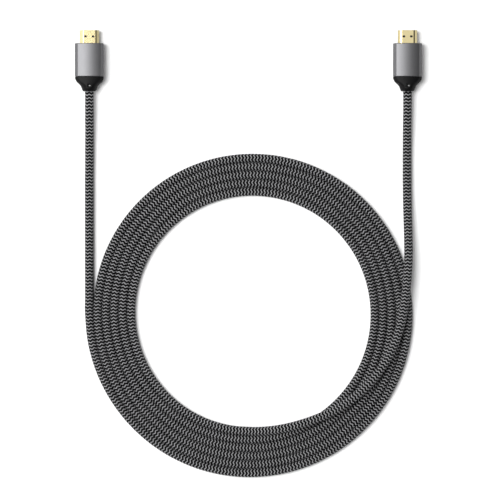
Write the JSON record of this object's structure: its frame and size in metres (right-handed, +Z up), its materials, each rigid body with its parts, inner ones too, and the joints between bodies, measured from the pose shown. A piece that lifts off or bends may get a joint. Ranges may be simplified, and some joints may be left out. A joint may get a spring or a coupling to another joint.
{
  "type": "hdmi cable",
  "caption": "Braided HDMI cable laid in a flat coil, with both plugs pointing the same way: gilt shells, aluminium sleeves and black tapered strain reliefs.",
  "frame": {"origin": "on the surface that the cable lies on, under the middle of its bounding box", "axes": "+Y is the way both plugs point, +X runs from plug A to plug B, +Z is up from the table"},
  "size_m": [0.2472, 0.3198, 0.0128],
  "materials": {
    "braid": "black and grey woven sleeve in zigzag rings, semi-matt",
    "aluminium": "fine satin, with a narrow bright bevel at each end",
    "black_moulding": "soft black moulding, semi-matt",
    "gilt_shell": "pale gold plating on pressed steel, satin",
    "insulator": "black moulded plastic",
    "contact_gilt": "gold plating, smooth"
  },
  "bodies": {
    "root": {"cable_lead_a": "braid", "cable_lead_b": "braid", "cable_coil": "braid", "plug_a_sleeve": "aluminium", "plug_a_moulding": "black_moulding", "plug_a_shell": "gilt_shell", "plug_a_insulator": "insulator", "plug_a_contact_01": "contact_gilt", "plug_a_contact_02": "contact_gilt", "plug_a_contact_03": "contact_gilt", "plug_a_contact_04": "contact_gilt", "plug_a_contact_05": "contact_gilt", "plug_a_contact_06": "contact_gilt", "plug_a_contact_07": "contact_gilt", "plug_a_contact_08": "contact_gilt", "plug_a_contact_09": "contact_gilt", "plug_a_contact_10": "contact_gilt", "plug_a_contact_11": "contact_gilt", "plug_a_contact_12": "contact_gilt", "plug_a_contact_13": "contact_gilt", "plug_a_contact_14": "contact_gilt", "plug_a_contact_15": "contact_gilt", "plug_a_contact_16": "contact_gilt", "plug_a_contact_17": "contact_gilt", "plug_a_contact_18": "contact_gilt", "plug_a_contact_19": "contact_gilt", "plug_b_sleeve": "aluminium", "plug_b_moulding": "black_moulding", "plug_b_shell": "gilt_shell", "plug_b_insulator": "insulator", "plug_b_contact_01": "contact_gilt", "plug_b_contact_02": "contact_gilt", "plug_b_contact_03": "contact_gilt", "plug_b_contact_04": "contact_gilt", "plug_b_contact_05": "contact_gilt", "plug_b_contact_06": "contact_gilt", "plug_b_contact_07": "contact_gilt", "plug_b_contact_08": "contact_gilt", "plug_b_contact_09": "contact_gilt", "plug_b_contact_10": "contact_gilt", "plug_b_contact_11": "contact_gilt", "plug_b_contact_12": "contact_gilt", "plug_b_contact_13": "contact_gilt", "plug_b_contact_14": "contact_gilt", "plug_b_contact_15": "contact_gilt", "plug_b_contact_16": "contact_gilt", "plug_b_contact_17": "contact_gilt", "plug_b_contact_18": "contact_gilt", "plug_b_contact_19": "contact_gilt"}
  },
  "joints": []
}
